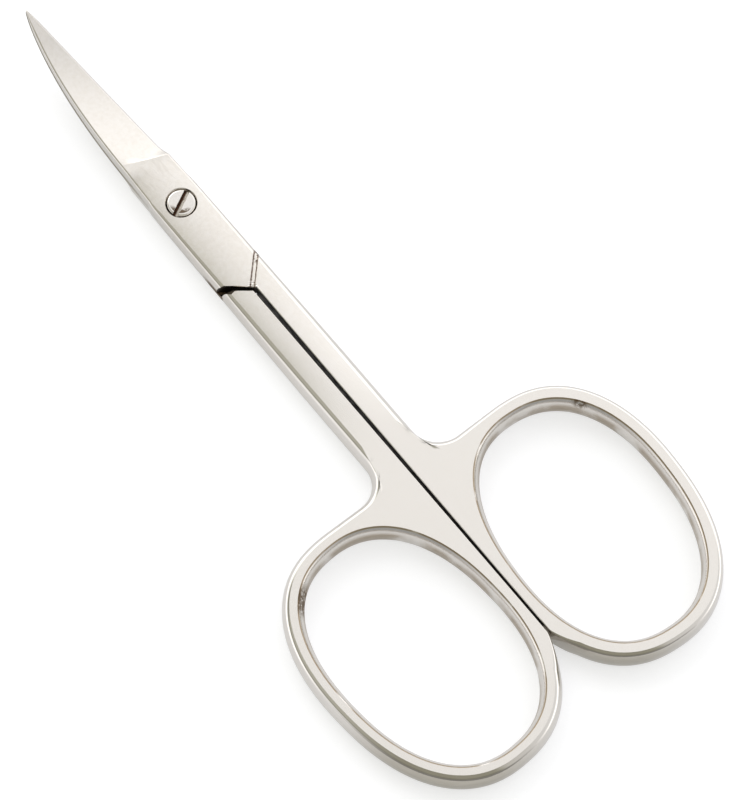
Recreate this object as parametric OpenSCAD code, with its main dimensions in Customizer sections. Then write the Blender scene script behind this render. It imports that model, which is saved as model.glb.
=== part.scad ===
// Curved cuticle scissors: two steel halves crossing at a slotted screw.
// Millimetres. The origin is on the pivot axis in the plane the scissors rest on, +X points
// to the blade tips, +Y to the finger ring of the lower half, +Z up through the screw head.
// Drawn closed. The blades bend upwards as a surface of revolution about the pivot axis, so
// that the upper blade keeps the same small gap to the lower one at every opening angle.

/* [Body] */
// Thickness of a shank and of a finger ring
body_t = 3.0; // [2.8:0.05:3.2]
// Half the width of the flat faces over the joint
joint_flat = 2.2; // [2.1:0.01:2.3]
// Half the width of the flat faces over both shanks
shank_flat = 2.12; // [2:0.01:2.2]
// How far the sides of the joint bulge past its flat faces
joint_bulge = 0.24; // [0.16:0.01:0.3]
// How far the shanks' rounded sides bulge past the flat faces
side_bulge = 0.82; // [0.6:0.01:0.9]
// How far the edges along the gaps bulge
gap_bulge = 0.09; // [0.06:0.01:0.12]

/* [Joint] */
// Pivot axis to the point of the V where the shanks part
crotch_x = 11.55; // [11.3:0.05:12.2]
// Pivot axis to the outer ends of the V
vee_x = 9.4; // [9.2:0.05:10]
// Width of the V shaped gap at the outer end of a joint plate
vee_gap = 0.3; // [0.22:0.01:0.4]
// Gap between the mating faces of the two halves
plate_gap = 0.06; // [0.04:0.01:0.1]
// Pivot axis to the outer end of the groove that finishes the V on the outer face
groove_out = 8.9; // [8.5:0.1:9.3]
// Pivot axis to the place where that groove would cross the middle line
groove_in = 11.2; // [10.9:0.1:11.5]
// Width of that groove
groove_w = 0.4; // [0.3:0.02:0.5]
// Depth of that groove
groove_d = 0.12; // [0.08:0.01:0.16]

/* [Blades] */
// Pivot axis to the point where a blade's two edges would meet, in plan
blade_len = 24.75; // [23:0.05:26]
// How far short of that point the tips are ground off
tip_in = 0.12; // [0.06:0.02:0.2]
// Pivot axis to the start of the bend
bend_start = 5.3; // [4.8:0.1:6]
// Radius of the upward bend, seen from the side
bend_r = 47; // [42:1:60]
// Exponent that sets how full the blade is towards the tip
blade_full = 0.73; // [0.68:0.01:0.85]
// Sideways bow of both blades, towards the lower half's cutting edge
blade_bow = 0.22; // [0:0.02:0.3]
// Thickness of a blade's back at the tip
tip_t = 0.36; // [0.3:0.02:0.5]
// Thickness of a blade just behind its cutting bevel
edge_t = 0.5; // [0.36:0.02:0.6]
// How far a blade's back bulges past its outer face
back_bulge = 0.26; // [0.16:0.01:0.3]
// Width of the cutting bevel
bevel_w = 0.2; // [0.15:0.01:0.3]
// Thickness left at the cutting edge
keen_t = 0.08; // [0.06:0.01:0.12]
// How far a blade's back stands in from the other blade's cutting edge
back_in = 0.06; // [0.02:0.02:0.3]
// Start of the bend to the start of the ground face, on the middle line
ground_in = 0.55; // [0.4:0.05:0.9]
// Length of the hollow in which the ground face starts, on the middle line
runout = 2.6; // [2:0.1:3]
// How much nearer to the pivot the hollow starts at the cutting edge, and further at the back
run_slant = 0.85; // [0:0.05:1]

/* [Finger rings] */
// Pivot axis to the middle of an opening
ring_x = 50.0; // [48:0.1:52]
// Middle line of the scissors to the middle of an opening
ring_y = 10.18; // [9.9:0.02:10.6]
// Length of an opening between its walls
hole_len = 25.2; // [24.4:0.1:26]
// Width of an opening between its walls
hole_w = 16.88; // [16.2:0.02:17.3]
// Exponent of the oval: 2 is an ellipse, more is squarer
oval = 2.3; // [2.1:0.02:2.5]
// Angle of the oval's long axis to the middle line
ring_turn = 4; // [2:0.5:6]
// Width of the rim
rim_w = 2.06; // [1.8:0.02:2.3]
// Extra width of the rim at the end next to the shank
rim_extra = 0.06; // [0:0.02:0.4]
// How far the rim bulges into the opening past its flat faces
rim_bulge_in = 0.65; // [0.45:0.01:0.75]
// How far the rim bulges outwards past its flat faces
rim_bulge_out = 0.66; // [0.4:0.01:0.75]
// Radius of the fillet between shank and ring
fillet_r = 3.0; // [2.4:0.1:3.6]
// Gap between the shanks at the point of the V
gap_front = 0.44; // [0.36:0.01:0.5]
// Gap between the rings where they meet
gap_rear = 0.2; // [0.16:0.01:0.26]

/* [Screw] */
// Diameter of the head
head_d = 2.8; // [2.6:0.05:3]
// Height of the head
head_h = 0.72; // [0.6:0.02:0.8]
// Bevel round the top of the head
head_edge = 0.16; // [0.1:0.01:0.2]
// Diameter of the screw's body
screw_d = 1.9; // [1.8:0.02:2]
// Width of the driver slot
slot_w = 0.46; // [0.4:0.02:0.55]
// Depth of the driver slot
slot_d = 0.36; // [0.3:0.02:0.4]
// Direction of the driver slot, from the middle line
slot_turn = 115; // [0:1:179]
// Radial clearance of the screw in the upper half, which turns on it
fit_turn = 0.04; // [0.02:0.01:0.06]
// Radial clearance of the screw's thread in the lower half
fit_thread = 0.02; // [0.01:0.01:0.03]
// Radial gap between the head and its counterbore
fit_head = 0.14; // [0.1:0.01:0.18]
// Gap under the head
fit_seat = 0.04; // [0.03:0.01:0.06]

/* [Hidden] */

ring_n = 96;    // columns round a ring
arm_n = 8;      // columns along a shank
plate_n = 5;    // stations along the joint plate
run_n = 8;      // stations over the hollow
blade_n = 26;   // stations along the blade

mid_z = body_t / 2;
plate_t = mid_z - plate_gap / 2;        // thickness of one joint plate
rim_a = hole_len / 2 + rim_w + rim_extra / 2;
rim_b = hole_w / 2 + rim_w;
first_turn = 300;                       // angle on the oval that faces the shank
last_turn = first_turn - 360 * (ring_n - 1) / ring_n;
near_scan = 20;

function mix(a, b, t) = a + (b - a) * t;
function clamp01(t) = max(0, min(1, t));
function smooth(t) = let(c = clamp01(t)) c * c * (3 - 2 * c);
function unit(v) = v / norm(v);
function left_of(v) = [-v[1], v[0]];
function sgn_pow(v, e) = sign(v) * pow(abs(v), e);

// A point of an oval with half axes a and b, centred cx along the scissors.
function oval_pt(ang, a, b, cx) =
    let(px = a * sgn_pow(cos(ang), 2 / oval), py = b * sgn_pow(sin(ang), 2 / oval))
    [cx + px * cos(ring_turn) - py * sin(ring_turn),
     ring_y + px * sin(ring_turn) + py * cos(ring_turn)];
function hole_pt(ang) = oval_pt(ang, hole_len / 2, hole_w / 2, -ring_x);
function rim_pt(ang) = oval_pt(ang, rim_a, rim_b, -ring_x + rim_extra / 2);

// The rim's point nearest to the tips, where the straight side towards the shank starts.
near_x = max([for (a = [-near_scan:0.5:near_scan]) rim_pt(a)[0]]);
near_turn = [for (a = [-near_scan:0.5:near_scan]) if (rim_pt(a)[0] > near_x - 1e-6) a][0];
near_y = rim_pt(near_turn)[1];
mouth_x = near_x + fillet_r + 1.5;      // where the ring's part of the arm ends

// Half the gap between the arms, and half the width over them, at a place along the scissors.
function half_gap(x) = mix(gap_front, gap_rear, clamp01((-x - crotch_x) / (ring_x - crotch_x))) / 2;
function rearward(x) = clamp01((2 - x) / 24);
function bulge_at(x) = mix(joint_bulge, side_bulge, pow(rearward(x), 0.45));
function half_w(x) = mix(joint_flat, shank_flat, min(1, 2 * rearward(x))) + bulge_at(x);

// The arm's outside from the rim's nearest point to its shank, by the share t of the way.
web_line = near_y - half_w(mouth_x) - fillet_r;
web_arc = fillet_r * PI / 2;
web_last = mouth_x - near_x - fillet_r;
function web_pt(t) =
    let(s = t * (web_line + web_arc + web_last), hw = half_w(mouth_x))
    s < web_line ? [near_x, near_y - s]
    : s < web_line + web_arc ?
        let(a = (s - web_line) / fillet_r * 180 / PI)
        [near_x + fillet_r * (1 - cos(a)), hw + fillet_r * (1 - sin(a))]
    : [near_x + fillet_r + s - web_line - web_arc, hw];

// Column k of ring_n round the outside of the ring, from the gap side of the mouth.
function ring_ang(k) = first_turn - 360 * k / ring_n;
function ring_out(k) =
    let(a = ring_ang(k))
    a > 270 ? let(x = mix(mouth_x, rim_pt(270)[0], (first_turn - a) / (first_turn - 270)))
        [x, half_gap(x)]
    : a >= near_turn ? let(p = rim_pt(a)) [p[0], max(p[1], half_gap(p[0]))]
    : web_pt((near_turn - a) / (near_turn - last_turn));

// All the columns of the arm's outside, from the point of the V, round the ring, to the V's
// outer end.
arm_out = concat(
    [for (j = [0:arm_n - 1]) let(x = mix(-crotch_x, mouth_x, j / arm_n)) [x, half_gap(x)]],
    [for (k = [0:ring_n - 1]) ring_out(k)],
    [for (j = [1:arm_n]) let(x = mix(mouth_x, -vee_x, j / arm_n)) [x, half_w(x)]]);
out_n = len(arm_out);
hole_in = [for (k = [0:ring_n - 1]) hole_pt(ring_ang(k))];

// How far a column bulges: little along the gap, more where the rim leaves it, and by the
// shank's own bulge from the fillet on.
function out_bulge(j) =
    let(p = arm_out[j], a = ring_ang(j - arm_n))
    j >= arm_n + ring_n ? bulge_at(p[0])
    : min(mix(bulge_at(mouth_x), rim_bulge_out, smooth((a - last_turn) / 60)),
        gap_bulge + 0.5 * max(0, p[1] - half_gap(p[0])));

// Direction into the body at a column of the outside, from its neighbours.
function out_dir(j) =
    let(a = arm_out[max(0, j - 1)], b = arm_out[min(out_n - 1, j + 1)])
    -left_of(unit(b - a));
function hole_dir(k) =
    let(a = hole_in[(k + ring_n - 1) % ring_n], b = hole_in[(k + 1) % ring_n])
    left_of(unit(b - a));

// A column of an arm has nine layers on a half ellipse, the fifth at the mating faces. Each
// layer is named by its angle on the ellipse, w is its height and in its share of the bulge.
layer_ang = [90, 72, 55, 30, 0, 30, 55, 72, 90];
top = len(layer_ang) - 1;
mate = 4;
function layer_w(l) = l == mate ? plate_t : mid_z * (1 + (l < mate ? -1 : 1) * sin(layer_ang[l]));
function layer_in(l) = 1 - cos(layer_ang[l]);
function column(p, d, bulge) =
    [for (l = [0:top]) let(q = p + d * bulge * layer_in(l)) [q[0], q[1], layer_w(l)]];

// The V: from its point outwards along the shank's end, and along the plate's free end, which
// stands vee_gap back from the other half's shank. Both ends bulge like the edges along the gap.
vee_a = [crotch_x - vee_x, half_w(-vee_x) - gap_front / 2];
vee_b = [vee_a[0] + vee_gap * norm(vee_a) / vee_a[1], half_w(-vee_x) + gap_front / 2];
function vee_point() =
    [for (l = [0:top]) let(i = gap_bulge * layer_in(l), v = l < mate ? vee_b : -vee_a,
        p = arm_out[0] + i * [(norm(v) - abs(v[0])) / v[1], 1]) [p[0], p[1], layer_w(l)]];
function shank_end() =
    [for (l = [0:top]) let(i = layer_in(l), b = bulge_at(-vee_x) * i,
        back = b * vee_a[0] + (l > mate ? gap_bulge * i * norm(vee_a) : 0))
        [-vee_x - back / vee_a[1], half_w(-vee_x) - b, layer_w(l)]];
function free_end() =
    [for (l = [0:mate]) let(i = layer_in(l), b = bulge_at(-vee_x) * i,
        on = gap_bulge * i * norm(vee_b) - b * vee_b[0])
        [vee_b[0] - crotch_x + on / vee_b[1], b - half_w(-vee_x), layer_w(l)]];
function arm_column(j) = j == 0 ? vee_point() : j == out_n - 1 ? shank_end()
    : column(arm_out[j], out_dir(j), out_bulge(j));

// Height of the bend at a distance r from the pivot axis.
function bend(r) = r <= bend_start ? 0
    : bend_r - sqrt(bend_r * bend_r - (r - bend_start) * (r - bend_start));

// A blade's half width in plan on its cutting side and on its back, and its sideways bow.
function keen_y(x) = x <= 2 ? half_w(x)
    : half_w(2) * pow(max(1e-4, 1 - (x * x - 4) / (blade_len * blade_len - 4)), blade_full);
function back_y(x) = keen_y(x) - min(back_in, keen_y(x) / 3) * smooth((x - 1.5) / 4);
function bow(x) = let(t = clamp01((x - 2) / (blade_len - 2))) blade_bow * 6.75 * t * t * (1 - t);
function back_t(x) = mix(plate_t, tip_t,
    pow(clamp01((x - bend_start) / (blade_len - bend_start)), 1.5));
// 0 on the joint plate, 1 on the ground face of the blade, and hollow between them.
function ground(x) = let(t = clamp01((x - bend_start - ground_in) / runout)) t * (2 - t);

// Stations along the joint plate and the blade, the last a little short of the tip. A station
// lies nearer to the pivot at the cutting edge than at the back where the ground face starts.
run_end = bend_start + ground_in + runout;
stations = concat(
    [for (i = [1:plate_n]) mix(-vee_x + 1.2, bend_start + ground_in, (i - 1) / (plate_n - 1))],
    [for (i = [1:run_n]) bend_start + ground_in + runout * i / run_n],
    [for (i = [1:blade_n]) let(t = i / blade_n)
        mix(run_end, blade_len - tip_in, t * (1.12 - 0.12 * t))]);
station_n = len(stations);
function slant(x) = run_slant * smooth((x - 1) / 4) * (1 - smooth((x - run_end) / 6));

// The points of a station on the cutting side and on the back, from the outer face to the
// mating face, each as place along, place across and thickness left below it. up is +1 or -1
// for the bend and the bow.
function lifted(x, y, t, up) =
    [x, y + up * bow(x), plate_t - t + (x <= 0 ? 0 : up * bend(norm([x, y + up * bow(x)])))];
function keen_side(s, up) =
    let(x = s - slant(s), y = keen_y(x), g = ground(s), b = bulge_at(x),
        f = min(edge_t, back_t(x) * 0.8), k = min(1, y / 0.6),
        in = [bevel_w + 0.06, bevel_w, bevel_w / 2, 0, 0],
        t = [f, f * 0.93, (f + keen_t) / 2, keen_t, 0])
    [for (l = [0:mate]) lifted(x, y - k * mix(b * layer_in(l), in[l], g),
        mix(back_t(x) * sin(layer_ang[l]), t[l], g), up)];
function back_side(s, up) =
    let(x = s + slant(s), y = back_y(x),
        b = mix(bulge_at(x), back_bulge, smooth(x / 4)) * min(1, y / 0.7))
    [for (l = [0:mate])
        lifted(x, -y + b * layer_in(l), back_t(x) * sin(layer_ang[l]), up)];
function mid_face(s, up) = (keen_side(s, up)[0] + back_side(s, up)[0]) / 2;
function mid_mate(s, up) = let(y = (keen_y(s) - back_y(s)) / 2) lifted(s, y, 0, up);

function quad(a, b, c, d) = [[a, b, c], [a, c, d]];
function join(lists) = [for (l = lists) for (f = l) f];

// One half without its holes: its own arm at +Y, its outer face at Z 0.
module half_blank(up) {
    side_n = mate + 1;
    hole = out_n * (top + 1);
    keen = hole + ring_n * (top + 1);
    back = keen + station_n * side_n;
    face = back + (station_n + 1) * side_n;
    inner = face + station_n;
    points = concat(
        join([for (j = [0:out_n - 1]) arm_column(j)]),
        join([for (k = [0:ring_n - 1]) column(hole_in[k], hole_dir(k), rim_bulge_in)]),
        join([for (s = stations) keen_side(s, up)]),
        free_end(),
        join([for (s = stations) back_side(s, up)]),
        [for (s = stations) mid_face(s, up)],
        [for (s = stations) mid_mate(s, up)]);
    last = out_n - 1;
    function out_i(j, l) = j * (top + 1) + l;
    function hole_i(k, l) = hole + (k % ring_n) * (top + 1) + l;
    function keen_i(i, l) = i == 0 ? out_i(last, l) : keen + (i - 1) * side_n + l;
    function back_i(i, l) = back + i * side_n + l;
    function face_i(i) = i == 0 ? out_i(0, 0) : face + i - 1;
    function inner_i(i) = i == 0 ? out_i(0, mate) : inner + i - 1;
    faces = join([
        // outside of the arm
        join([for (j = [0:last - 1]) for (l = [0:top - 1])
            quad(out_i(j, l), out_i(j + 1, l), out_i(j + 1, l + 1), out_i(j, l + 1))]),
        // wall of the finger opening
        join([for (k = [0:ring_n - 1]) for (l = [0:top - 1])
            quad(hole_i(k + 1, l), hole_i(k, l), hole_i(k, l + 1), hole_i(k + 1, l + 1))]),
        // both flat faces of the ring
        join([for (k = [0:ring_n - 2]) let(j = arm_n + k)
            quad(out_i(j, top), out_i(j + 1, top), hole_i(k + 1, top), hole_i(k, top))]),
        join([for (k = [0:ring_n - 2]) let(j = arm_n + k)
            quad(out_i(j + 1, 0), out_i(j, 0), hole_i(k, 0), hole_i(k + 1, 0))]),
        quad(out_i(arm_n + ring_n - 1, top), out_i(arm_n, top), hole_i(0, top),
            hole_i(ring_n - 1, top)),
        quad(out_i(arm_n, 0), out_i(arm_n + ring_n - 1, 0), hole_i(ring_n - 1, 0),
            hole_i(0, 0)),
        // both flat faces of the shank
        join([for (j = [0:arm_n - 1])
            quad(out_i(j, top), out_i(j + 1, top), out_i(last - j - 1, top),
                out_i(last - j, top))]),
        join([for (j = [0:arm_n - 1])
            quad(out_i(j + 1, 0), out_i(j, 0), out_i(last - j, 0), out_i(last - j - 1, 0))]),
        // the shank's end above the joint plate
        join([for (l = [mate:top - 1])
            quad(out_i(last, l), out_i(0, l), out_i(0, l + 1), out_i(last, l + 1))]),
        // the joint plate's free end
        join([for (l = [0:mate - 1])
            quad(back_i(0, l), out_i(0, l), out_i(0, l + 1), back_i(0, l + 1))]),
        // edges, outer face and mating face of the plate and the blade
        join([for (i = [0:station_n - 1]) join([
            join([for (l = [0:mate - 1]) quad(keen_i(i, l), keen_i(i + 1, l),
                keen_i(i + 1, l + 1), keen_i(i, l + 1))]),
            join([for (l = [0:mate - 1]) quad(back_i(i + 1, l), back_i(i, l),
                back_i(i, l + 1), back_i(i + 1, l + 1))]),
            quad(keen_i(i + 1, 0), keen_i(i, 0), face_i(i), face_i(i + 1)),
            quad(face_i(i + 1), face_i(i), back_i(i, 0), back_i(i + 1, 0)),
            quad(keen_i(i, mate), keen_i(i + 1, mate), inner_i(i + 1), inner_i(i)),
            quad(inner_i(i), inner_i(i + 1), back_i(i + 1, mate), back_i(i, mate))])]),
        // the tip
        let(n = station_n) concat(
            [for (l = [0:mate - 1]) [face_i(n), keen_i(n, l + 1), keen_i(n, l)]],
            [[face_i(n), inner_i(n), keen_i(n, mate)]],
            [for (l = [0:mate - 1]) [face_i(n), back_i(n, l), back_i(n, l + 1)]],
            [[face_i(n), back_i(n, mate), inner_i(n)]])]);
    polyhedron(points = points, faces = faces, convexity = 12);
}

// The shallow groove that finishes the V on the outer face, over the half's own arm.
module vee_groove() {
    d = unit([groove_in - groove_out, joint_flat]);
    reach = norm([groove_in - groove_out, joint_flat]);
    translate([-groove_in, 0, 0])
        rotate([0, 0, atan2(d[1], d[0])])
            translate([-1, -groove_w / 2, -1])
                cube([reach + 2, groove_w, 1 + groove_d]);
}

module lower_half() {
    color("silver")
        difference() {
            half_blank(1);
            translate([0, 0, -1])
                cylinder(h = body_t + 2, r = screw_d / 2 + fit_thread, $fn = 64);
        }
}

module upper_half() {
    color("gainsboro")
        difference() {
            translate([0, 0, body_t])
                rotate([180, 0, 0])
                    difference() {
                        half_blank(-1);
                        vee_groove();
                    }
            translate([0, 0, -1])
                cylinder(h = body_t + 2, r = screw_d / 2 + fit_turn, $fn = 64);
            translate([0, 0, body_t - head_h - fit_seat])
                cylinder(h = body_t, r = head_d / 2 + fit_head, $fn = 64);
        }
}

// The screw belongs to the lower half; its end is ground flush with the underside.
module pivot_screw() {
    under = body_t - head_h;
    color("lightgray")
        difference() {
            union() {
                cylinder(h = under + 0.2, r = screw_d / 2, $fn = 64);
                translate([0, 0, under])
                    cylinder(h = head_h - head_edge, r = head_d / 2, $fn = 64);
                translate([0, 0, body_t - head_edge])
                    cylinder(h = head_edge, r1 = head_d / 2, r2 = head_d / 2 - head_edge,
                        $fn = 64);
            }
            rotate([0, 0, slot_turn])
                translate([-head_d, -slot_w / 2, body_t - slot_d])
                    cube([2 * head_d, slot_w, 2 * slot_d]);
        }
}

lower_half();
upper_half();
pivot_screw();
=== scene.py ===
import math

import bpy
import numpy as np
from mathutils import Matrix, Vector


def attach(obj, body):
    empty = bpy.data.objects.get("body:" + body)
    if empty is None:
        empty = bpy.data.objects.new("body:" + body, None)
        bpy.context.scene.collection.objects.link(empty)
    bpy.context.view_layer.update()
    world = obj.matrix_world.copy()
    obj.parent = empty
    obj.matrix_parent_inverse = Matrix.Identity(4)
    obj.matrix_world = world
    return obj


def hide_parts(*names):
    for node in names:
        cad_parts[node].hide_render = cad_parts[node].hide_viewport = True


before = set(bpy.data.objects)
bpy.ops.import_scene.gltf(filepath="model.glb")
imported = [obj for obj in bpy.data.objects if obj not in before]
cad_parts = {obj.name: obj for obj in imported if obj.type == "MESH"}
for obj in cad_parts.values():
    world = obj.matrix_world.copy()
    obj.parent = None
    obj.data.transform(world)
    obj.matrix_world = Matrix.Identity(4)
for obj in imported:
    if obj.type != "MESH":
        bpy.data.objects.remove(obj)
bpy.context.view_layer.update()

# ---------------------------------------------------------------------------------------------
# The two halves: each is one forging of nickel plated steel, a finger ring, a shank, half of the
# joint and a curved blade. The flat faces are ground on a belt, the rounded sides are polished.
# They lie on each other in the joint, where the screw holds them together.

# Sizes in millimetres; the pivot axis is at the origin and the tips point along +X.
body_t, plate_gap = 3.0, 0.06                 # whole thickness, play between the joint's plates
joint_flat, shank_flat = 2.2, 2.12            # half widths of the flat faces
joint_bulge, side_bulge, gap_bulge = 0.24, 0.82, 0.09     # how far the rounded sides swell out
joint_end, taper_len = 2.0, 24.0              # behind joint_end the joint widens into the shanks
crotch_x, vee_x, vee_gap = 11.55, 9.4, 0.25   # the V's point, its outer ends and its clearance
gap_front, gap_rear = 0.44, 0.2               # between the halves, at the V and at the rings
blade_len, tip_in, blade_full, blade_bow = 24.75, 0.12, 0.73, 0.22   # the blades in plan
bend_start, bend_r = 5.3, 47.0                # the blades' upward bend
tip_t, edge_t, keen_t, bevel_w = 0.36, 0.5, 0.08, 0.2     # at the tip and at the cutting edge
back_in, back_bulge = 0.06, 0.26
ground_in, runout, run_slant = 0.55, 2.6, 0.85            # where the ground face runs out
ring_x, ring_y, ring_turn, oval_power = 50.0, 10.18, math.radians(4), 2.3
hole_len, hole_w, rim_w, rim_extra = 25.2, 16.88, 2.06, 0.06         # finger opening and rim
rim_bulge_in, rim_bulge_out = 0.65, 0.66
fillet_r, mouth_run = 3.0, 1.5                # from the ring's web into the shank
rim_uneven = 0.08         # the lower half's rim is ground rounder by this, the upper half's less
cap_bevel, bevel_h, bevel_run = 0.06, 0.24, 0.26          # bevel of a shank's end, in the V
cap_notch, notch_h, notch_share = 0.5, 0.5, 0.45          # its outer corner's cut
crown = 0.12              # how far the ground faces fall off towards their sides
skin = 0.008              # the rims stay this much inside the solid's own corners

mid_z = body_t / 2
plate_t = mid_z - plate_gap / 2
groove_out, groove_in = 8.9, 11.2     # ends of the upper half's groove, behind the pivot
groove_w, groove_d, groove_wall = 0.4, 0.12, 0.05

across_n, half_n = 28, 14             # cells across the joint and the blade, across a shank
layer_n = mate = 13       # cells from a flat face to the middle of a side, the mating layer
shank_n, ring_n, mouth_n, rim_n = 64, 330, 14, 6
vee_n, plate_n, run_n, blade_n = 60, 109, 30, 109         # along the V, joint, run-out and blade
by_point, by_end, by_plate = 0.9, 1.9, 1.2    # from the V's corners to the next columns
cell_fade = 0.12          # the blade's first cells are longer by this share, its last shorter
window_half, window_in, ring_rows = 2.1, 2, 6             # the hole's window in the joint's grid


def mix(a, b, t):
    """a for t 0, b for t 1, and in proportion between them."""
    return a + (b - a) * t


def smooth(t):
    """0 below 0, 1 above 1, and 3t^2 - 2t^3 between."""
    c = np.clip(t, 0, 1)
    return c * c * (3 - 2 * c)


def oval(turn, a, b, cx):
    """Superellipse: x and y are the half axes times cos and sin of the angle, each raised to
    2 / oval_power with its sign kept, then turned by ring_turn about the ring's middle."""
    c, s = np.cos(turn), np.sin(turn)
    px = a * np.sign(c) * np.abs(c) ** (2 / oval_power)
    py = b * np.sign(s) * np.abs(s) ** (2 / oval_power)
    ct, st = math.cos(ring_turn), math.sin(ring_turn)
    return np.stack([cx + px * ct - py * st, ring_y + px * st + py * ct], -1)


def hole_path(turn):
    """The finger opening: an oval of its own length and width."""
    return oval(turn, hole_len / 2, hole_w / 2, -ring_x)


def rim_path(turn):
    """The rim's outside: the opening's oval grown by rim_w, and by rim_extra at the front."""
    return oval(turn, hole_len / 2 + rim_w + rim_extra / 2 - skin, hole_w / 2 + rim_w - skin,
                -ring_x + rim_extra / 2)


# Where the rim comes nearest to the joint, and the angles that its columns run through.
scan = np.radians(np.linspace(-20, 20, 4001))
near = rim_path(scan)
near_turn = scan[np.argmax(near[:, 0])]
near_x, near_y = near[np.argmax(near[:, 0])]
mouth_x = near_x + fillet_r + mouth_run
first_turn, last_turn = math.radians(300), math.radians(-56.25)
gap_turn = math.radians(50)           # the gap's wall goes on round the rim by this
hole_first, hole_last = 285, -45      # degrees, the opening's wall beside the rim's columns
swell_turn, gap_rise = 60, 0.5        # degrees and slope until the rim's own swell is reached


def half_gap(x):
    """Half the gap between the halves, in proportion from gap_front to gap_rear."""
    return mix(gap_front, gap_rear, np.clip((-x - crotch_x) / (ring_x - crotch_x), 0, 1)) / 2


def rearward(x):
    """0 on the joint, 1 from taper_len behind its end, in proportion between."""
    return np.clip((joint_end - x) / taper_len, 0, 1)


def bulge_at(x):
    """The sides' swell, from joint_bulge to side_bulge as rearward to the power 0.45."""
    return mix(joint_bulge, side_bulge, rearward(x) ** 0.45)


def half_w(x):
    """Half the whole width: the flat face's, full in half the taper's length, and the swell."""
    return mix(joint_flat, shank_flat, np.minimum(1, 2 * rearward(x))) + bulge_at(x)


def ring_outside(t, rim_out):
    """The arm's outside from the mouth on the gap line, round the rim, down to the shank: along
    the gap up to the rim's foot, then the rim's oval, a straight web and a quarter circle."""
    turn = mix(first_turn, last_turn, t)
    foot = math.radians(270)
    foot_x = rim_path(np.array([foot]))[0, 0]
    along = mix(mouth_x, foot_x, np.clip((first_turn - turn) / (first_turn - foot), 0, 1))
    rim = rim_path(turn)
    hw = half_w(mouth_x)
    line, arc = near_y - hw - fillet_r, fillet_r * math.pi / 2
    s = np.clip((near_turn - turn) / (near_turn - last_turn), 0, 1) * (line + arc + mouth_run)
    a = np.clip((s - line) / fillet_r, 0, math.pi / 2)
    web = np.stack([near_x + fillet_r * (1 - np.cos(a)) + np.maximum(s - line - arc, 0),
                    np.where(s < line, near_y - s, hw + fillet_r * (1 - np.sin(a)))], -1)
    gap = np.stack([along, half_gap(along)], -1)
    rim[:, 1] = np.maximum(rim[:, 1], half_gap(rim[:, 0]))
    path = np.where((turn > foot)[:, None], gap, np.where((turn >= near_turn)[:, None], rim, web))
    swell = mix(bulge_at(mouth_x), rim_out,
                smooth((np.degrees(turn) - math.degrees(last_turn)) / swell_turn))
    off_gap = np.maximum(0, path[:, 1] - half_gap(path[:, 0]))
    return path, np.minimum(swell, gap_bulge + gap_rise * off_gap)


# A side's section has layer_n cells: two on a narrow slope at the flat face, two on a steeper
# facet, the others on a round.
slope_w, hole_slope_w, slope_rise = 0.30, 0.10, 0.62
facet_w, facet_rise, round_start = 0.14, 1.05, math.radians(52)
on_slope = np.concatenate([[1, 0.5], np.zeros(layer_n - 1)])
on_facet = np.concatenate([[1, 1, 1, 0.5], np.zeros(layer_n - 3)])
on_round = np.concatenate([[round_start] * 4, np.linspace(round_start, 0, layer_n - 3)])


def section(swell, half, slope=slope_w):
    """How far inward and how high above the middle each layer of a side lies: a slope, a
    steeper facet, then an arc of an ellipse, whose inward part goes as 1 - cos and whose height
    as sin. On a thin side the slope and the facet keep to a share of its swell and height."""
    swell, half = np.asarray(swell)[..., None], np.asarray(half)[..., None]
    wide, narrow = np.minimum(slope, 0.4 * swell), np.minimum(facet_w, 0.35 * swell)
    tall = np.minimum(slope_rise * wide, 0.2 * half)
    steep = np.minimum(facet_rise * narrow, 0.15 * half)
    inward = (wide * on_slope + narrow * on_facet
              + (swell - wide - narrow) * (1 - np.cos(on_round)) / (1 - math.cos(round_start)))
    up = (tall * on_slope * (1.2 - 0.2 * on_slope) + steep * on_facet
          + (half - tall - steep) * np.sin(on_round) / math.sin(round_start))
    return inward, up


def both_ways(swell, slope=slope_w):
    """A whole side's layers from the outer face over the mating plane to the far face."""
    inward, up = section(swell, mid_z, slope)
    z = np.concatenate([mid_z - up, mid_z + up[..., -2::-1]], -1)
    z[..., layer_n] = plate_t
    return np.concatenate([inward, inward[..., -2::-1]], -1), z


def side_columns(path, swell, inward, slope=slope_w):
    """A rounded side along a path: the section's layers go inward from each of its points."""
    depth, z = both_ways(swell, slope)
    xy = path[:, None] + inward[:, None] * depth[..., None]
    return np.concatenate([xy, z[..., None]], -1)


def left_of_path(path, closed=False):
    """Unit vectors square to the path, to the left of its direction."""
    if closed:
        d = np.roll(path, -1, 0) - np.roll(path, 1, 0)
    else:
        d = np.gradient(path, axis=0)
    d = d / np.linalg.norm(d, axis=1)[:, None]
    return np.stack([-d[:, 1], d[:, 0]], -1)


def bend(x, y):
    """Rise of the blade: 0 behind the pivot and up to bend_start from it, then a circle of
    bend_r over the distance from the pivot."""
    past = np.maximum(np.hypot(x, y) - bend_start, 0)
    return np.where(x <= 0, 0, bend_r - np.sqrt(bend_r ** 2 - past ** 2))


def keen_y(x):
    """Half width at the cutting edge: the joint's at its end, times 1 less the square of the
    way to the tip, raised to blade_full."""
    end2 = joint_end ** 2
    full = np.maximum(1e-4, 1 - (x * x - end2) / (blade_len ** 2 - end2)) ** blade_full
    return np.where(x <= joint_end, half_w(x), half_w(joint_end) * full)


def back_y(x):
    """Half width at the back: back_in less than at the edge, a third less at most."""
    return keen_y(x) - np.minimum(back_in, keen_y(x) / 3) * smooth((x - 1.5) / 4)


def bow(x):
    """Sideways bow of the blade, t^2 (1 - t) on its length, blade_bow at its highest."""
    t = np.clip((x - joint_end) / (blade_len - joint_end), 0, 1)
    return blade_bow * 6.75 * t * t * (1 - t)


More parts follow.
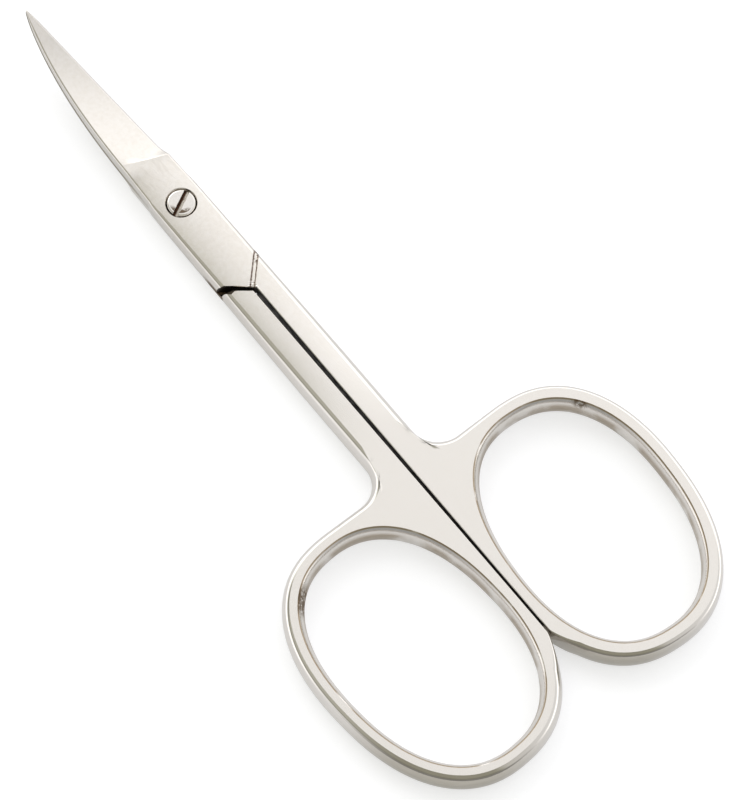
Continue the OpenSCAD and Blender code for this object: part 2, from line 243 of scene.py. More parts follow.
def back_t(x):
    """Thickness at the back, from the plate's to the tip's as the way along to the power 1.5."""
    return mix(plate_t, tip_t, np.clip((x - bend_start) / (blade_len - bend_start), 0, 1) ** 1.5)


run_start = bend_start + ground_in
run_end = run_start + runout


def ground(x):
    """Share of the ground face: 0 on the joint, then hollow as a wheel leaves it, 1 - (1 - t)^2."""
    return 1 - (1 - np.clip((x - run_start) / runout, 0, 1)) ** 2


def slant(x):
    """How far back the rows lean on the cutting side, which sets the run-out askew."""
    return run_slant * smooth((x - 1) / 4) * (1 - smooth((x - run_end) / 6))


def lifted(x, y, t, up):
    """A point of the blade by its place in plan and the thickness left below it, bent up."""
    y = y + up * bow(x)
    return np.stack([x, y, plate_t - t + up * bend(x, y)], -1)


# The bevel's section by the share of a side's layers: distance in from the edge, share of the
# thickness at its upper end and the keen edge's own height.
knots = np.array([0, 0.25, 0.5, 0.75, 1])
bevel_in = [bevel_w + 0.06, bevel_w, bevel_w / 2, 0, 0]
bevel_up = [1, 0.93, 0.5, 0, 0]
bevel_low = [0, 0, 0.5 * keen_t, keen_t, 0]


def keen_side(s, up):
    """The cutting side: the joint's round side turns into the bevel where the face is ground."""
    x = s - slant(s)
    y, g, b, bt = keen_y(x), ground(s), bulge_at(x), back_t(x)
    f, k = np.minimum(edge_t, bt * 0.8), np.minimum(1, y / 0.6)
    u = np.linspace(0, 1, layer_n + 1)
    t = f[:, None] * np.interp(u, knots, bevel_up) + np.interp(u, knots, bevel_low)
    inward, up_side = section(b, bt)
    yy = y[:, None] - k[:, None] * mix(inward, np.interp(u, knots, bevel_in), g[:, None])
    tt = mix(up_side, t, g[:, None])
    return lifted(x[:, None] + 0 * yy, yy, tt, up)


def back_side(s, up):
    """The blade's back: the side's section from the outer face to the mating face."""
    x = s + slant(s)
    y = back_y(x)
    b = mix(bulge_at(x), back_bulge, smooth(x / 4)) * np.minimum(1, y / 0.7)
    inward, up_side = section(b, back_t(x))
    return lifted(x[:, None] + 0 * inward, inward - y[:, None], up_side, up)


def rows(a, b, n):
    """Straight rows of n cells from each point of a to the same point of b."""
    t = np.linspace(0, 1, n + 1)
    return mix(a[:, None], b[:, None], t[None, :, None])


# Kinds of surface; an edge between two kinds is crisp.
FACE, SIDE, MATE, END, BORE, GAP, HOLE = range(7)
labels = {"ground_face": FACE, "gap_wall": GAP, "end_wall": END, "bore_wall": BORE,
          "hole_wall": HOLE, "mate_face": MATE}
weld_per_mm, weld_shift = 5000, 0.137         # points in one 0.0002 mm cell are one


class Shell:
    """Patches of points on grids, welded into one closed mesh."""

    def __init__(self):
        self.points, self.faces, self.kinds, self.count = [], [], [], 0

    def patch(self, p, kind, flip=False, skip=None):
        """Quads of a grid p[i, j]; skip marks the cells that are left open."""
        n, m = p.shape[:2]
        i = np.arange(n * m).reshape(n, m) + self.count
        q = np.stack([i[:-1, :-1], i[1:, :-1], i[1:, 1:], i[:-1, 1:]], -1)
        q = q[~skip] if skip is not None else q.reshape(-1, 4)
        self.faces.append(q if flip else q[:, ::-1])
        self.kinds.append(np.full(len(q), kind))
        self.points.append(p.reshape(-1, 3))
        self.count += n * m

    def mesh(self, name, shaped):
        """Shapes and welds the points, drops collapsed cells and makes the mesh in metres."""
        p = shaped(np.concatenate(self.points))
        q, kinds = np.concatenate(self.faces), np.concatenate(self.kinds)
        _, first, back = np.unique(np.round(p * weld_per_mm + weld_shift).astype(np.int64),
                                   axis=0, return_index=True, return_inverse=True)
        q = back.reshape(-1)[q]
        same = q == np.roll(q, -1, 1)
        keep = (same.sum(1) < 2) & (q[:, 0] != q[:, 2]) & (q[:, 1] != q[:, 3])
        q, own = q[keep], ~same[keep]
        corners = own.sum(1)
        me = bpy.data.meshes.new(name)
        me.vertices.add(len(first))
        me.vertices.foreach_set("co", (p[first] * 0.001).astype(np.float32).ravel())
        me.loops.add(int(corners.sum()))
        me.loops.foreach_set("vertex_index", q[own].astype(np.int32))
        me.polygons.add(len(q))
        me.polygons.foreach_set("loop_start", (np.cumsum(corners) - corners).astype(np.int32))
        me.update(calc_edges=True)
        corner_kind = np.repeat(kinds[keep], corners)
        edge = np.empty(len(me.loops), np.int32)
        me.loops.foreach_get("edge_index", edge)
        low, high = np.full(len(me.edges), 99), np.full(len(me.edges), -1)
        np.minimum.at(low, edge, corner_kind)
        np.maximum.at(high, edge, corner_kind)
        sharp = me.attributes.new("sharp_edge", "BOOLEAN", "EDGE")
        sharp.data.foreach_set("value", low != high)
        for label, kind in labels.items():
            at = me.attributes.new(label, "FLOAT", "CORNER")
            at.data.foreach_set("value", (corner_kind == kind).astype(np.float32))
        me.update()
        return me


def vee_ends():
    """The V's columns of layers: its point on the gap line, the shank's outer end, the joint
    plate's free end, and how far each layer of the shank's end is notched. The V's lines stay
    vee_gap apart; each layer slides along them as far as the rounded sides draw it inward."""
    va = np.array([crotch_x - vee_x, half_w(-vee_x) - gap_front / 2])
    na = np.linalg.norm(va)
    vb = np.array([va[0] + vee_gap * na / va[1], half_w(-vee_x) + gap_front / 2])
    nb = np.linalg.norm(vb)
    layer = np.arange(2 * mate + 1)
    low, far = layer < mate, layer > mate
    gap_in, gap_z = both_ways(gap_bulge)
    out_in, out_z = both_ways(bulge_at(-vee_x))
    gap_cut, out_cut = (np.where(low, 0, cap_bevel * smooth((z - body_t + bevel_h) / bevel_run))
                        for z in (gap_z, out_z))
    lean = np.where(low, (nb - vb[0]) / vb[1], -(na - va[0]) / va[1])
    point = np.stack([-crotch_x + gap_in * lean - gap_cut * na / va[1], gap_front / 2 + gap_in,
                      gap_z], -1)
    back = out_in * va[0] + np.where(far, gap_in * na, 0) + out_cut * na
    notch = np.where(low, 0, cap_notch * smooth((out_z - plate_t) / notch_h))
    end = np.stack([-vee_x - back / va[1] - notch, half_w(-vee_x) - out_in, out_z], -1)
    i, b = gap_in[:mate + 1], out_in[:mate + 1]
    free = np.stack([vb[0] - crotch_x + (i * nb - b * vb[0]) / vb[1], b - half_w(-vee_x),
                     out_z[:mate + 1]], -1)
    return point, end, free, notch


def add_arm(sh, vee, rim_out):
    """The arm: its outside from the V's point along the gap, round the ring and along the shank
    to the V's end, the V's own walls, the finger opening and the flat faces on both sides."""
    point, end, free, notch = vee
    x_in = np.linspace(-crotch_x - by_point, mouth_x, shank_n + 1)[:-1]
    x_out = np.linspace(mouth_x, -vee_x - by_end, shank_n + 1)[1:]
    loop, swell = ring_outside(np.linspace(0, 1, ring_n + 1), rim_out)
    path = np.concatenate([np.stack([x_in, half_gap(x_in)], -1), loop,
                           np.stack([x_out, half_w(x_out)], -1)])
    swell = np.concatenate([np.full(shank_n, gap_bulge), swell, bulge_at(x_out)])
    arm = np.concatenate([point[None], side_columns(path, swell, -left_of_path(path)), end[None]])
    first, last = 1 + shank_n, 1 + shank_n + ring_n
    parting_shade = first + int(ring_n * gap_turn / (first_turn - last_turn))
    sh.patch(arm[:parting_shade + 1], GAP)
    sh.patch(arm[parting_shade:], SIDE)

    # the shank's end above the joint, with the notch at its outer corner, and the plate's end
    cap = rows(end + notch[:, None] * (1, 0, 0), point, half_n)
    cap[:, :, 0] -= notch[:, None] * np.maximum(
        0, 1 - np.linspace(0, 1, half_n + 1) / notch_share) ** 2
    sh.patch(cap[mate:], END, flip=True)
    sh.patch(rows(point[:mate + 1], free, half_n), END)

    # the finger opening's wall and both flat faces round it, with the mouth to the shank
    hole = hole_path(np.radians(np.concatenate([
        np.linspace(hole_first, hole_last, ring_n + 1),
        np.linspace(hole_last, hole_first - 360, mouth_n + 1)[1:-1]])))
    wall = side_columns(hole, np.full(len(hole), rim_bulge_in), left_of_path(hole, True),
                        hole_slope_w)
    wall = np.concatenate([wall, wall[:1]])
    sh.patch(wall, HOLE, flip=True)
    for layer, flip in ((2 * mate, True), (0, False)):
        mouth = rows(arm[last, layer][None], arm[first, layer][None], mouth_n)[0]
        outer = np.concatenate([arm[first:last + 1, layer], mouth[1:]])
        sh.patch(rows(outer, wall[:, layer], rim_n), FACE, flip=not flip)
        face = rows(arm[last:, layer][::-1], arm[:first + 1, layer], half_n)
        face[0] = cap[layer]
        sh.patch(face, FACE, flip=flip)


def plate_grid(keen, backs, corners, up):
    """A face of the joint plate and the blade, by its two edges: straight rows across that
    follow the bend by their own points, and behind the joint spread to the V's corners."""
    grid = rows(keen, backs, across_n)
    rise = up * bend(grid[vee_n:, :, 0], grid[vee_n:, :, 1])
    flat = grid[vee_n:, :, 2] - rise
    grid[vee_n:, :, 2] = mix(flat[:, :1], flat[:, -1:], np.linspace(0, 1, across_n + 1)) + rise
    line = rows(corners[:-1], corners[1:], half_n)
    start = np.concatenate([line[0], line[1, 1:]])
    grid[:vee_n + 1] = mix(start, grid[vee_n], np.linspace(0, 1, vee_n + 1)[:, None, None])
    return grid


def window(grid):
    """The cells of a face that are left open round the pivot, and the loop of points on their
    edge, closed."""
    inside = (np.abs(grid[:, :, 0]) < window_half).any(1)
    i0, i1 = np.argmax(inside), len(inside) - 1 - np.argmax(inside[::-1])
    j0, j1 = window_in, across_n - window_in
    open_cells = np.zeros((len(grid) - 1, across_n), bool)
    open_cells[i0:i1, j0:j1] = True
    return open_cells, np.concatenate([grid[i0:i1, j0], grid[i1, j0:j1], grid[i1:i0:-1, j1],
                                       grid[i0, j1:j0 - 1:-1]])


def add_plate(sh, vee, up, bores):
    """The joint plate and the blade: both sides, the outer and the mating face with the round
    hole between them, and the tip's small end face."""
    point, end, free, _ = vee
    along = np.linspace(0, 1, blade_n + 1)
    s = np.concatenate([
        np.linspace(-vee_x + by_plate, run_start, plate_n + 1),
        np.linspace(run_start, run_end, run_n + 1)[1:-1],
        mix(run_end, blade_len - tip_in, along * (1 + cell_fade - cell_fade * along))])
    keen, backs = keen_side(s, up), back_side(s, up)
    keen = np.concatenate([rows(end[:mate + 1], keen[0], vee_n).transpose(1, 0, 2)[:-1], keen])
    backs = np.concatenate([rows(free, backs[0], vee_n).transpose(1, 0, 2)[:-1], backs])
    sh.patch(keen, SIDE)
    sh.patch(backs, SIDE, flip=True)
    tip = rows(keen[-1], backs[-1], across_n)
    walls = []
    for layer, kind, flip in ((0, FACE, True), (mate, MATE, False)):
        corners = np.stack([end[layer], point[layer], free[layer]])
        grid = plate_grid(keen[:, layer], backs[:, layer], corners, up)
        open_cells, edge = window(grid)
        sh.patch(grid, kind, flip=flip, skip=open_cells)
        tip[layer] = grid[-1]
        turn = np.arctan2(edge[:, 1], edge[:, 0])
        wall = np.stack([np.outer(bores[:, 0], np.cos(turn)), np.outer(bores[:, 0], np.sin(turn)),
                         bores[:, 1:] + 0 * turn], -1)
        rim = wall[0 if layer == 0 else -1].copy()
        rim[:, 2] = edge[:, 2]
        sh.patch(rows(edge, rim, ring_rows), kind, flip=flip)
        walls.append(wall[:-1] if layer == 0 else wall[-1:])
    sh.patch(np.concatenate(walls), BORE)
    sh.patch(tip, SIDE, flip=True)


def half_shell(up, rim_out, bores):
    """One half with its own arm at +Y and its outer face at height 0, as one shell; up is 1 where
    its blade rises from that face, else -1. bores gives the round hole: radii and heights from
    the outer face to the mating face."""
    sh = Shell()
    vee = vee_ends()
    add_arm(sh, vee, rim_out)
    add_plate(sh, vee, up, np.array(bores))
    return sh


def crowned(p):
    """The ground faces fall off by crown towards the sides of the joint and the shanks: heights
    from the middle shrink by the square of y over joint_flat, less and less where the blades
    and the rings begin."""
    share = np.minimum(1, (p[:, 1] / joint_flat) ** 2)
    share = share * (1 - smooth((p[:, 0] - 4.2) / 1.6)) * smooth((p[:, 0] + 34) / 14)
    return np.stack([p[:, 0], p[:, 1],
                     mid_z + (p[:, 2] - mid_z) * (1 - crown / mid_z * share)], -1)


def grooved(p):
    """The shallow groove that finishes the V on the upper half's face: near its line the surface
    is no nearer to the outer face than groove_d, with walls groove_wall wide."""
    d = np.array([groove_in - groove_out, joint_flat])
    d = d / np.hypot(*d)
    away = np.abs((p[:, 0] + groove_in) * d[1] - p[:, 1] * d[0])
    cut = groove_d * smooth((groove_w / 2 + groove_wall / 2 - away) / groove_wall)
    on = (p[:, 2] < 0.3) & (p[:, 1] > -0.6) & (np.abs(p[:, 0] + 10) < 2.4)
    return np.where(on[:, None] & (p[:, 2:] < cut[:, None]), np.stack(
        [p[:, 0], p[:, 1], cut], -1), p)


# The screw's thread goes through the lower half; its head sinks into the upper half.
thread_r, play_r, sunk_r, sunk_d = 0.97, 0.99, 1.54, 0.76
sunk_edge, sunk_edge_h = 0.06, 0.05
lower_shell = half_shell(1, rim_bulge_out + rim_uneven, [(thread_r, 0.0), (thread_r, plate_t)])
lower_mesh = lower_shell.mesh("lower_half_steel", crowned)
lower_piece = bpy.data.objects.new("lower_half_steel", lower_mesh)
bpy.context.scene.collection.objects.link(lower_piece)
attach(lower_piece, "lower")
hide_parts("lower_half")

upper_shell = half_shell(-1, rim_bulge_out - rim_uneven, [
    (sunk_r + sunk_edge, 0.0), (sunk_r, sunk_edge_h), (sunk_r, sunk_d), (play_r, sunk_d),
    (play_r, plate_t)])
upper_mesh = upper_shell.mesh("upper_half_steel",
                              lambda p: crowned(grooved(p)) * (1, -1, -1) + (0, 0, body_t))
upper_piece = bpy.data.objects.new("upper_half_steel", upper_mesh)
bpy.context.scene.collection.objects.link(upper_piece)
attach(upper_piece, "upper")
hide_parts("upper_half")


class Wire:
    """An output socket of a shader. Sums, differences and products of it add Math nodes."""

    def __init__(self, tree, out=None):
        self.tree, self.out = tree, out

    def made(self, kind, settings=None, inputs=None, out=0):
        """Any other node: its type, its settings, which are set first, and its sockets."""
        node = self.tree.nodes.new(kind)
        for name, value in (settings or {}).items():
            setattr(node, name, value)
        for key, value in (inputs or {}).items():
            if isinstance(value, Wire):
                self.tree.links.new(value.out, node.inputs[key])
            else:
                node.inputs[key].default_value = value
        return Wire(self.tree, node.outputs[out]) if node.outputs else node

    def maths(self, how, a, b=0.0):
        """A Math node, on two numbers."""
        return self.made("ShaderNodeMath", {"operation": how}, {0: a, 1: b})

    def __add__(self, b): return self.maths("ADD", self, b)
    def __radd__(self, b): return self.maths("ADD", b, self)
    def __sub__(self, b): return self.maths("SUBTRACT", self, b)
    def __rsub__(self, b): return self.maths("SUBTRACT", b, self)
    def __mul__(self, b): return self.maths("MULTIPLY", self, b)
    def __rmul__(self, b): return self.maths("MULTIPLY", b, self)
    def __abs__(self): return self.maths("ABSOLUTE", self)

    def stepped(self, low, high):
        """0 where it is at low or beyond, 1 at high, smooth between."""
        return self.made("ShaderNodeMapRange", {"interpolation_type": "SMOOTHSTEP"},
                         {0: self, 1: low, 2: high, 3: 0.0, 4: 1.0})

    def parts(self, vector):
        """X, Y and Z of a vector."""
        first = self.made("ShaderNodeSeparateXYZ", inputs={0: vector})
        return [Wire(self.tree, out) for out in first.out.node.outputs]

    def vector(self, how, a, b, out=0):
        """A Vector Math node; its second output, out=1, is a number."""
        return self.made("ShaderNodeVectorMath", {"operation": how}, {0: a, 1: b}, out)

    def share(self, label):
        """1 on the surfaces of one kind, 0 elsewhere."""
        return self.made("ShaderNodeAttribute", {"attribute_name": label}, out=2)

    def noise(self, place, scale, detail, rough, stretch=None):
        """Cloudy noise; a stretch below 1 draws it out along that axis."""
        if stretch:
            place = self.made("ShaderNodeMapping", inputs={0: place, 3: stretch})
        return self.made("ShaderNodeTexNoise", inputs={0: place, 2: scale, 3: detail, 4: rough})

    def mixed(self, share, under, over):
        """The colour over in its share, under elsewhere."""
        under, over = (c if isinstance(c, Wire) else (*c, 1) for c in (under, over))
        return self.made("ShaderNodeMix", {"data_type": "RGBA"}, {0: share, 6: under, 7: over}, 2)


def bare_material(name):
    """A material without nodes yet."""
    mat = bpy.data.materials.new(name)
    mat.use_nodes = True
    mat.node_tree.nodes.clear()
    return mat


def metal(w, colour, rough, height, strength):
    """Puts the finished metal on a material: its colour, roughness and the height of its grain."""
    bump = w.made("ShaderNodeBump", inputs={"Strength": strength, "Distance": 0.00001,
                                            "Height": height})
    shader = w.made("ShaderNodeBsdfPrincipled", inputs={
        "Base Color": colour, "Metallic": 1.0, "Roughness": rough, "Normal": bump})
    w.made("ShaderNodeOutputMaterial", inputs={0: shader})


# Colours, and places in metres as the shaders read them.
steel_dark, steel_light = (0.672, 0.636, 0.590), (0.700, 0.670, 0.634)
# the rear's tone, a handled smear, painted dark reflection bands on the finger opening's wall
steel_rear, smeared, reflection_band_tone = (0.745, 0.715, 0.680), (0.47, 0.42, 0.37), (0.34, 0.275, 0.20)
# a darker warm patch, dirt with painted shade along the parting line, painted shade in the gap
dark_patch_tone, dirt_and_shade_tone, shade_and_grime_tone = (0.29, 0.262, 0.195), (0.15, 0.105, 0.065), (0.045, 0.036, 0.028)
# painted shade and rust along the groove
groove_shade_and_rust_tone = (0.13, 0.08, 0.055)
lower_side = (-0.69, 0.72, 0)         # across the joint, the side where dirt gathers


def half_steel(name, dirty_spot, dirty_size, dark_patch_spot, with_groove):
    """Satin ground faces with faint cross lines; polished sides with painted dark reflection bands,
    a darker patch and dirt, and painted shade along the parting line and on the walls where the
    halves face each other. The dirt on the finger opening's wall lies round dirty_spot, the darker
    patch on the rim's outside round dark_patch_spot."""
    mat = bare_material(name)
    w = Wire(mat.node_tree)
    place = w.made("ShaderNodeTexCoord", out=3)
    length, across, height = w.parts(place)
    face, gap, end, bore, hole, mate = (w.share(label) for label in (
        "ground_face", "gap_wall", "end_wall", "bore_wall", "hole_wall", "mate_face"))
    outside = (1 - face) * (1 - hole) * (1 - gap) * (1 - end)
    deep = abs(height - mid_z * 0.001)        # away from the parting plane

    scratch = w.noise(place, 7000.0, 3.0, 0.6, (1.0, 0.12, 0.12))
    cloud = w.noise(place, 160.0, 3.0, 0.5)
    fine = w.noise(place, 2500.0, 2.0, 0.5)
    smear = w.noise(place, 2600.0, 2.0, 0.5, (0.25, 1.0, 1.0))
    streak = w.noise(place, 5200.0, 3.0, 0.65, (0.08, 0.08, 1.0))
    patches = w.noise(place, 330.0, 2.0, 0.5)
    speck = w.noise(place, 3600.0, 2.0, 0.6)
    worn = w.noise(place, 900.0, 4.0, 0.65)

    # painted shade, patchy like grime, in the gap up to a ragged line below the outer faces and on
    # the V's ends
    corner = abs(across).stepped(0.0016, 0.0018) * (1 - length.stepped(-0.0094, -0.0093)) * 0.0006
    narrow = gap * (1 - length.stepped(-0.045, -0.030)) * 0.00016
    closed = length.stepped(-0.0572, -0.0556)
    ragged = deep + gap * (worn - 0.5) * 0.0005
    toward = w.vector("DOT_PRODUCT", place, lower_side, out=1)
    in_gap = end + gap * closed * (0.72 + 0.28 * worn.stepped(0.35, 0.6))
    below = 1 - (ragged - corner * end + end * 0.00018 - narrow).stepped(0.00108, 0.00126)
    # the bore darker towards the mating plane and towards one side
    in_bore = (bore * (0.2 + 0.8 * (1 - deep.stepped(0.0008, 0.001)))
               * (0.4 + 0.6 * toward.stepped(-0.0015, 0.0004)))
    shade_and_grime = in_gap * below + in_bore

    # painted dark reflection bands along the middle and the lips of the finger opening's wall,
    # dirt, a darker patch and painted parting shade
    level_on, lip = 1 - deep.stepped(0.0005, 0.0011), deep.stepped(0.00136, 0.00143)
    reflection_bands = hole * (level_on * patches.stepped(0.3, 0.55) * (0.5 + 0.5 * streak)
                      + lip * patches.stepped(0.25, 0.45))
    from_spot = w.vector("DISTANCE", place, dirty_spot, out=1)
    from_dark_patch = w.vector("DISTANCE", place, dark_patch_spot, out=1)
    # a darker, warmer patch on the rim's outside round its spot
    dark_patch = outside * (1 - from_dark_patch.stepped(0.004, 0.0125)) * (0.45 + 0.3 * streak)
    # painted shade along the parting line on the joint's flank, next to the V
    parting_shade = (outside * (1 - deep.stepped(0.0002, 0.0006)) * length.stepped(-0.0102, -0.0099)
               * (1 - length.stepped(-0.0082, -0.0066)))
    dirt_and_shade = (hole * (1 - from_spot.stepped(0.4 * dirty_size, dirty_size))
            * speck.stepped(0.36, 0.50) * 0.9 + parting_shade)

    # the steel's own tone, brighter to the rear, with handled smears before the blade
    tone = cloud * 0.3 + fine * 0.5 + scratch * 0.2
    bright = 1 - length.stepped(-0.028, -0.010)
    handled = (length.stepped(0.0022, 0.0032) * (1 - length.stepped(0.0050, 0.0058))
               * smear.stepped(0.50, 0.68) * face * 0.16)
    colour = w.mixed(tone.stepped(0.35, 0.65), steel_dark, steel_light)
    for share, over in ((bright * 0.7, steel_rear), (handled, smeared), (reflection_bands, reflection_band_tone),
                        (dark_patch, dark_patch_tone), (dirt_and_shade, dirt_and_shade_tone), (shade_and_grime, shade_and_grime_tone)):
        colour = w.mixed(share, colour, over)
    # what roughens the surface: stains, dirt and the painted shade
    stain_and_shade = shade_and_grime + reflection_bands * 0.3 + dirt_and_shade

    if with_groove:         # dark edges and a few rusty spots along the groove
        line_turn = math.atan2(-joint_flat, groove_in - groove_out)
        on_line = w.made("ShaderNodeMapping", {"vector_type": "TEXTURE"}, {
            0: place, 1: (-groove_in * 0.001, 0, 0), 2: (0, 0, line_turn)})
        off_x, off_y, _ = w.parts(on_line)
        wide = abs(off_y)
        # painted shade along both edges of the groove
        groove_edge_shade = 1 - abs(wide - groove_w * 0.0005).stepped(0.00004, 0.00011)
        reach = (off_x.stepped(-0.0004, -0.0002) * (1 - off_x.stepped(0.0038, 0.0040))
                 * height.stepped(0.0023, 0.0024))
        spots = w.noise(place, 4200.0, 2.0, 0.5)
        ends = abs(off_x - 0.00155).stepped(0.0008, 0.0013)
        rust = (1 - wide.stepped(0.00012, 0.0002)) * spots.stepped(0.52, 0.6) * ends
        groove_shade_and_rust = (groove_edge_shade * (0.55 + 0.45 * spots.stepped(0.4, 0.6)) + rust) * reach
        colour = w.mixed(groove_shade_and_rust, colour, groove_shade_and_rust_tone)
        stain_and_shade = stain_and_shade + groove_shade_and_rust

    polished = 0.06 + streak * 0.06 + hole * 0.12 + mate * 0.3
    satin = 0.25 + (scratch - 0.5) * 0.06
    rough = (1 - face) * polished + face * satin + stain_and_shade * 0.4
    metal(w, colour, rough, scratch * face + streak * (1 - face), 0.2)
    return mat


lower_mesh.materials.append(half_steel(
    "lower_half_steel", dirty_spot=(-0.0392, 0.0163, 0.0022), dirty_size=0.0021,
    dark_patch_spot=(-0.0617, 0.0170, 0.0010), with_groove=False))
upper_mesh.materials.append(half_steel(
    "upper_half_steel", dirty_spot=(-0.0400, -0.0172, 0.0029), dirty_size=0.0011,
    dark_patch_spot=(-0.0600, -0.0020, 0.0010), with_groove=True))

# ---------------------------------------------------------------------------------------------
# The screw: turned and polished steel with a beveled flat head and a driver slot. It is fixed in
# the lower half, its end is ground flush, and its head lies sunk in the upper half.
head_d, head_h, head_edge, screw_d = 2.8, 0.72, 0.16, 1.9
end_edge, end_ring = 0.04, 0.45
slot_w, slot_d, slot_turn = 0.54, 0.36, math.radians(118)
head_r, screw_r, slot_half = head_d / 2, screw_d / 2, slot_w / 2
slot_floor, under = body_t - slot_d, body_t - head_h
side_n, slot_n, disc_n, edge_n = 60, 8, 14, 5


def arc_rows(profile, turns_of):
    """A profile of radii and heights turned through the angles that turns_of gives at a radius."""
    r, z = np.array(profile).T
    a = turns_of(r[:, None])
    return np.stack([r[:, None] * np.cos(a), r[:, None] * np.sin(a), z[:, None] + 0 * a], -1)


def beside_slot(r):
    """Angles at a radius from one wall of the slot round to the other."""
    wall_turn = np.arcsin(np.minimum(1, slot_half / r))
    return mix(wall_turn, math.pi - wall_turn, np.linspace(0, 1, side_n + 1)[None])


# The head on both sides of the slot: its flat disc, its round edge and the slot's wall.
screw = Shell()
edge_turn = np.linspace(0, math.pi / 2, edge_n + 1)[1:]
flat_r = head_r - head_edge
disc = [(r, body_t)
        for r in slot_half + (flat_r - slot_half) * np.linspace(0, 1, disc_n + 1) ** 1.5]
edge = [(flat_r + head_edge * math.sin(a), body_t - head_edge * (1 - math.cos(a)))
        for a in edge_turn]
edge += [(head_r, z) for z in np.linspace(body_t - head_edge, slot_floor, 4)[1:]]
lip = np.sqrt([max(0, r * r - slot_half ** 2) for r, z in disc])
lip = np.concatenate([-lip[::-1], lip[1:]]) / lip[-1]
for turned in (0, math.pi):
    seg = arc_rows(disc + edge, lambda r: turned + beside_slot(r))
    screw.patch(seg[:disc_n + 1], FACE, flip=True)
    screw.patch(seg[disc_n:], SIDE, flip=True)
    wall = np.array(disc[-1:] + edge)
    reach = np.sqrt(wall[:, :1] ** 2 - slot_half ** 2)
    wall = np.stack([lip * reach, np.full((len(wall), len(lip)), slot_half),
                     wall[:, 1:] + 0 * lip], -1)
    screw.patch(wall * (-1, -1, 1) if turned else wall, GAP, flip=True)

# The slot's floor, then the head below it and the screw down to its end.
v = np.linspace(-slot_half, slot_half, slot_n + 1)[:, None]
screw.patch(np.stack([lip * np.sqrt(head_r ** 2 - v * v), v + 0 * lip,
                      slot_floor + 0 * v * lip], -1), GAP)
ends_turn = np.arcsin(v[:, 0] / head_r)
part = np.linspace(0, 1, side_n + 1)
full = np.concatenate([mix(ends_turn[-1], math.pi - ends_turn[-1], part),
                       math.pi - ends_turn[::-1][1:],
                       mix(math.pi + ends_turn[-1], 2 * math.pi - ends_turn[-1], part)[1:],
                       2 * math.pi + ends_turn[1:]])
for profile, kind in (
        ([(head_r, slot_floor), (head_r, under), (screw_r, under), (screw_r, end_edge),
          (screw_r - end_edge, 0.0)], SIDE),
        ([(screw_r - end_edge, 0.0), (end_ring, 0.0), (0.0, 0.0)], FACE)):
    screw.patch(arc_rows(profile, lambda r: full + 0 * r), kind, flip=True)


def turned_slot(p):
    """The screw turned about its axis by slot_turn."""
    c, s = math.cos(slot_turn), math.sin(slot_turn)
    return np.stack([p[:, 0] * c - p[:, 1] * s, p[:, 0] * s + p[:, 1] * c, p[:, 2]], -1)


screw_mesh = screw.mesh("pivot_screw_chrome", turned_slot)
screw_piece = bpy.data.objects.new("pivot_screw_chrome", screw_mesh)
bpy.context.scene.collection.objects.link(screw_piece)
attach(screw_piece, "lower")
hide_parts("pivot_screw")

head_dark, head_light, head_rust = (0.70, 0.67, 0.63), (0.74, 0.71, 0.68), (0.20, 0.09, 0.045)
# the slot's dark tone paints shadow; its steel tone shows where the slot is lit
slot_shadow_tone, slot_steel, smudged = (0.07, 0.035, 0.02), (0.56, 0.52, 0.46), (0.11, 0.075, 0.045)


def screw_finish():
    """Polished head with fine turning marks and smudges; the slot is dull, with painted shadow
    along one wall, and rusty at its edges."""
    mat = bare_material("screw_steel")
    w = Wire(mat.node_tree)
    place = w.made("ShaderNodeTexCoord", out=3)
    slot = w.share("gap_wall")
    _, side, _ = w.parts(w.made("ShaderNodeMapping", inputs={0: place, 2: (0, 0, -slot_turn)}))
    spots = w.noise(place, 5200.0, 3.0, 0.6)
    rust = (1 - (abs(side) - 0.00023).stepped(0.0, 0.00012)) * spots.stepped(0.52, 0.62)
    # the lit part of the slot, beside the painted shadow
    slot_lit = (side.stepped(-0.00010, 0.00004) * spots.stepped(0.30, 0.50)
             * (1 - 0.75 * side.stepped(0.00014, 0.00021)))
    radius = w.vector("LENGTH", w.vector("MULTIPLY", place, (1, 1, 0)), (0, 0, 0), out=1)
    toward = w.vector("DOT_PRODUCT", place, lower_side, out=1)
    smudge = (radius.stepped(0.00062, 0.00086) * (1 - radius.stepped(0.00108, 0.00118))
              * toward.stepped(0.0003, 0.0008) * spots.stepped(0.30, 0.44) * 0.95)
    colour = w.mixed(spots.stepped(0.3, 0.7), head_dark, head_light)
    for share, over in ((rust, head_rust), (smudge, smudged),
                        (slot, w.mixed(slot_lit, slot_shadow_tone, slot_steel))):
        colour = w.mixed(share, colour, over)
    metal(w, colour, 0.12 + rust * 0.3 + slot * 0.35, spots, 0.25)
    return mat


screw_mesh.materials.append(screw_finish())

# ---------------------------------------------------------------------------------------------
# The studio: a pale table, a large soft light from above and a camera at the photograph's angle.
table_size, table_drop = 6.0, 2e-5            # metres
table_tone, table_seen, table_mirrored = (0.54, 0.545, 0.57, 1), 0.585, 0.40
grid_x = np.array([-1, 1, 1, -1]) * table_size / 2
grid_y = np.array([-1, -1, 1, 1]) * table_size / 2
floor_mesh = bpy.data.meshes.new("table")
floor_mesh.from_pydata(np.stack([grid_x, grid_y, np.full(4, -table_drop)], -1).tolist(), [],
                       [[0, 1, 2, 3]])
floor = bpy.data.objects.new("table", floor_mesh)
bpy.context.scene.collection.objects.link(floor)
floor_mat = bare_material("table_white")
w = Wire(floor_mat.node_tree)
camera_ray, glossy_ray, through_ray = (w.made("ShaderNodeLightPath", out=k) for k in (0, 3, 6))
seen = camera_ray * table_seen + w.maths("MAXIMUM", glossy_ray, through_ray) * table_mirrored
paper = w.made("ShaderNodeBsdfDiffuse", inputs={0: table_tone})
glow = w.made("ShaderNodeEmission", inputs={0: (1, 1, 1, 1), 1: seen})
both = w.made("ShaderNodeAddShader", inputs={0: paper, 1: glow})
w.made("ShaderNodeOutputMaterial", inputs={0: both})
floor_mesh.materials.append(floor_mat)

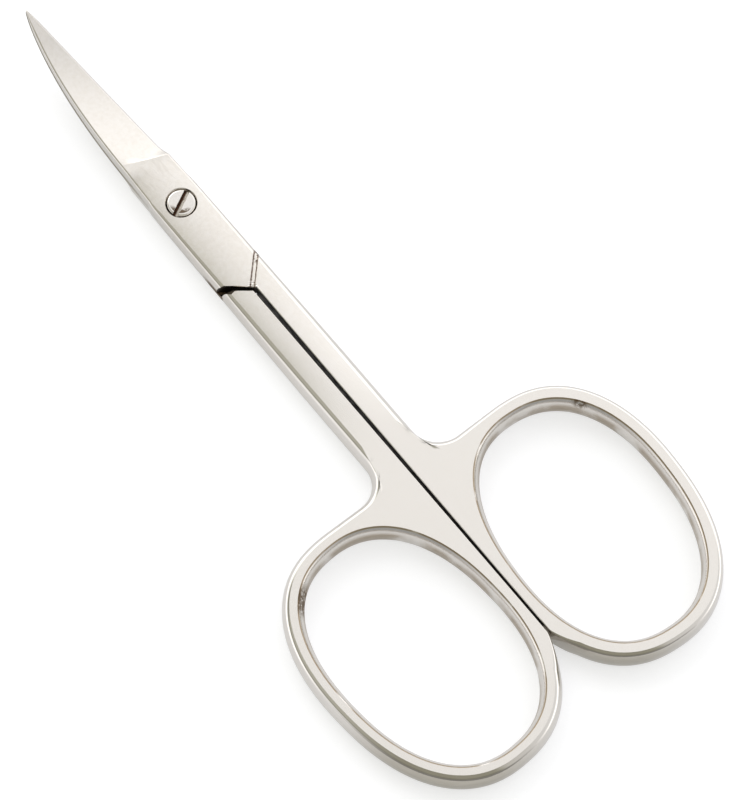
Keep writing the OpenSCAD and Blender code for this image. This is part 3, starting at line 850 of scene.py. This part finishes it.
# The room by direction: a wide soft lobe overhead towards the picture's top, a dimmer and warmer
# wall at its lower left, the table's surroundings along the horizon, bright except on the
# viewer's side, and one small lamp.
world = bpy.data.worlds.new("studio")
bpy.context.scene.world = world
world.use_nodes = True
world.node_tree.nodes.clear()
w = Wire(world.node_tree)
way = w.made("ShaderNodeTexCoord", out=0)
wx, wy, wz = w.parts(way)
lobe_x, lobe_y, lobe_size = 0.35, -0.65, 0.68
off_x, off_y = wx - lobe_x, wy - lobe_y
off_x = 0.75 * off_x - 0.25 * abs(off_x)      # the lobe is twice as wide towards +X
overhead = 1 - w.maths("SQRT", off_x * off_x + off_y * off_y).stepped(0.05, lobe_size)
behind = wy.stepped(-0.12, 0.08)
low_line = 1 - abs(wz - 0.42).stepped(0.02, 0.09)
level = 0.91 + 0.6 * overhead - 0.36 * behind - 0.2 * low_line * behind
horizon = 1 - wz.stepped(0.28, 0.38)
front = (0.62 * wy - 0.78 * wx).stepped(0.0, 0.8)
lamp_way, lamp_level = (0.75, -0.1, 0.654), 2.2
lamp = w.vector("DOT_PRODUCT", way, lamp_way, out=1).stepped(0.93, 0.98) * lamp_level
level = level * (1 - horizon) + horizon * (1.65 - 1.25 * front) + lamp
camera_ray = w.made("ShaderNodeLightPath", out=0)
room = w.mixed(behind * (1 - horizon) * (1 - camera_ray), (1, 1, 1), (1, 0.99, 0.86))
sky = w.made("ShaderNodeBackground", inputs={0: room, 1: level * (1 - camera_ray) + camera_ray})
w.made("ShaderNodeOutputWorld", inputs={0: sky})

# The camera looks down at 67.6 degrees, about 0.5 m away; its focal length is given in the
# photograph's pixels.
photo_height, focal_pixels, film_width = 800, 5099, 36
camera_place = (-0.1725761, 0.1132356, 0.4520417)
camera_data = bpy.data.cameras.new("camera")
camera = bpy.data.objects.new("camera", camera_data)
bpy.context.scene.collection.objects.link(camera)
right, upward = Vector((-0.6221, -0.7829, 0.0)), Vector((0.7240, -0.5752, 0.3807))
ahead = Vector((0.2981, -0.2369, -0.9247))
camera.matrix_world = Matrix.Translation(camera_place) @ Matrix(
    (right, upward, -ahead)).transposed().to_4x4()
camera_data.sensor_width = film_width
camera_data.lens = focal_pixels * film_width / photo_height
camera_data.clip_start, camera_data.clip_end = 0.01, 20
bpy.context.scene.camera = camera
bpy.context.scene.view_settings.view_transform = "Standard"
